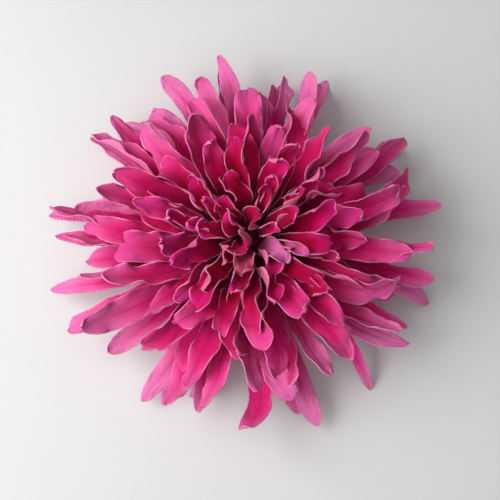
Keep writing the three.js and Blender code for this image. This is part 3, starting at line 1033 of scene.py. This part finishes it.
class MakeCalyx(bpy.types.Operator):
    """Makes the calyx: a flared cup with a flat foot, a socket and pointed sepals."""

    bl_idname = "chrysanthemum.calyx"
    bl_label = "Calyx"

    def execute(self, context):
        sizes = context.scene.chrysanthemum_holding
        corners, _ = merged("calyx")
        radius = np.hypot(corners[:, 0], corners[:, 1])
        low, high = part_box("calyx")
        foot = radius[corners[:, 2] < low.z + 0.01 * MM].max()
        top = corners[:, 2] > high.z - 0.01 * MM
        platform, socket = radius[top].max(), radius[top].min()
        floor = corners[(radius < 0.01 * MM) & (corners[:, 2] > low.z + 0.5 * MM), 2].max()
        reach = radius.max()
        mesh = calyx_mesh(sizes, foot, platform, socket, floor, reach, high.z)
        mesh.materials.append(calyx_material(sizes))
        mesh.shade_smooth()
        add_piece("moulded_calyx", mesh, "calyx", frame_slot("calyx"))
        return {"FINISHED"}


def calyx_mesh(sizes, foot, platform, socket, floor, reach, top):
    """Rings of points from the foot, up the outside, out and back over the sepals and into the socket."""
    notch = foot + (reach - foot) * SEPAL_NOTCH
    outside = [(foot * 0.94, 0), (foot, 0.12 * MM), (foot * 1.04, 0.9 * MM), (foot * 1.16, 2.2 * MM)]
    outside += [(foot * 1.35, 3.4 * MM), (notch, SEPAL_FOOT)]
    over = [(notch, 4.9 * MM), (platform * 1.3, 5.5 * MM), (platform * 1.06, top - 0.3 * MM)]
    over += [(platform, top), (socket + 0.2 * MM, top), (socket, top - 0.2 * MM), (socket, floor)]
    below = [(i / SEPAL_STEPS, 0.0) for i in range(1, SEPAL_STEPS + 1)]
    above = [(i / SEPAL_STEPS, SEPAL_THICKNESS) for i in range(SEPAL_STEPS - 1, 0, -1)]
    turns = [i / TURNS for i in range(TURNS)]

    def on_sepal(turn, share, lift):
        """The radius and height of a sepal's surface, a share of the way out along it."""
        from_tip = abs(2 * ((turn * SEPALS) % 1) - 1)
        out = share * (1 - from_tip**1.6)
        rise = (top - SEPAL_TIP_DROP - SEPAL_FOOT) * out**0.8
        droop = sizes.sepal_sag * from_tip**2 * share * (1 - from_tip)
        return notch + (reach - notch) * out, SEPAL_FOOT + rise + lift * (1 - 0.4 * share) - droop

    levels = [[place] * TURNS for place in outside]
    levels += [[on_sepal(turn, share, lift) for turn in turns] for share, lift in below + above]
    levels += [[place] * TURNS for place in over]
    shape = bmesh.new()
    rings = [
        [
            shape.verts.new((r * math.cos(turn * math.tau), r * math.sin(turn * math.tau), z))
            for turn, (r, z) in zip(turns, level)
        ]
        for level in levels
    ]
    for one, other in zip(rings, rings[1:]):
        for i in range(TURNS):
            j = (i + 1) % TURNS
            shape.faces.new((one[i], one[j], other[j], other[i]))
    bottom, inside = shape.verts.new((0, 0, 0)), shape.verts.new((0, 0, floor))
    for i in range(TURNS):
        j = (i + 1) % TURNS
        shape.faces.new((bottom, rings[0][j], rings[0][i]))
        shape.faces.new((inside, rings[-1][i], rings[-1][j]))
    return closed_mesh(shape, "calyx")


class MakeStage(bpy.types.Operator):
    """Makes the floor, the soft lamps and the camera."""

    bl_idname = "chrysanthemum.stage"
    bl_label = "Stage"

    def execute(self, context):
        sizes = context.scene.chrysanthemum_stage
        self.floor(context, sizes)
        for name, place, width, colour in LAMPS:
            self.lamp(context, name, place, width, getattr(sizes, name), colour)
        world = bpy.data.worlds.new("room")
        world.use_nodes = True
        world.node_tree.nodes["Background"].inputs["Color"].default_value = ROOM_COLOUR
        world.node_tree.nodes["Background"].inputs["Strength"].default_value = sizes.room
        context.scene.world = world
        context.scene.view_settings.view_transform = "Standard"
        self.camera(context, sizes)
        return {"FINISHED"}

    def floor(self, context, sizes):
        mesh = bpy.data.meshes.new("floor")
        corners = [(x * FLOOR_SIDE, y * FLOOR_SIDE, 0) for x, y in ((-1, -1), (1, -1), (1, 1), (-1, 1))]
        mesh.from_pydata(corners, [], [(0, 1, 2, 3)])
        mesh.materials.append(floor_material(sizes))
        floor = bpy.data.objects.new("floor", mesh)
        context.scene.collection.objects.link(floor)

    def lamp(self, context, name, place, width, power, colour):
        light = bpy.data.lights.new(name, "AREA")
        light.shape = "SQUARE"
        light.size = width
        light.energy = power
        light.color = colour
        lamp = bpy.data.objects.new(name, light)
        context.scene.collection.objects.link(lamp)
        lamp.location = AIM + place
        lamp.rotation_euler = (-place).to_track_quat("-Z", "Y").to_euler()

    def camera(self, context, sizes):
        camera = bpy.data.cameras.new("camera")
        camera.lens = sizes.lens
        camera.dof.use_dof = False
        viewer = bpy.data.objects.new("camera", camera)
        context.scene.collection.objects.link(viewer)
        back = Vector((0, -math.cos(sizes.elevation), math.sin(sizes.elevation)))
        viewer.location = AIM + back * sizes.distance
        viewer.rotation_euler = (-back).to_track_quat("-Z", "Y").to_euler()
        context.scene.camera = viewer


class ChrysanthemumPanel(bpy.types.Panel):
    """Lists what makes the flower head."""

    bl_idname = "VIEW3D_PT_chrysanthemum"
    bl_label = "Chrysanthemum"
    bl_space_type = "VIEW_3D"
    bl_region_type = "UI"
    bl_category = "Chrysanthemum"

    def draw(self, context):
        layout = self.layout
        for operator in OPERATORS:
            layout.operator(operator.bl_idname)
        for name in SETTINGS:
            group = getattr(context.scene, name)
            box = layout.box()
            for key in group.bl_rna.properties.keys():
                if key not in {"rna_type", "name"}:
                    box.prop(group, key)


OPERATORS = (MakeStage, MakePetalRounds, MakePeg, MakeBeads, MakeCalyx)
SETTINGS = {
    "chrysanthemum_petals": PetalSettings,
    "chrysanthemum_holding": HoldingSettings,
    "chrysanthemum_stage": StageSettings,
}
CLASSES = (*SETTINGS.values(), *OPERATORS, ChrysanthemumPanel)


def register():
    for made in CLASSES:
        bpy.utils.register_class(made)
    for name, group in SETTINGS.items():
        setattr(bpy.types.Scene, name, PointerProperty(type=group))


def unregister():
    for name in SETTINGS:
        delattr(bpy.types.Scene, name)
    for made in reversed(CLASSES):
        bpy.utils.unregister_class(made)


def main():
    register()
    bpy.ops.chrysanthemum.stage()
    bpy.ops.chrysanthemum.petal_rounds()
    bpy.ops.chrysanthemum.peg()
    bpy.ops.chrysanthemum.beads()
    bpy.ops.chrysanthemum.calyx()


if __name__ == "__main__":
    main()
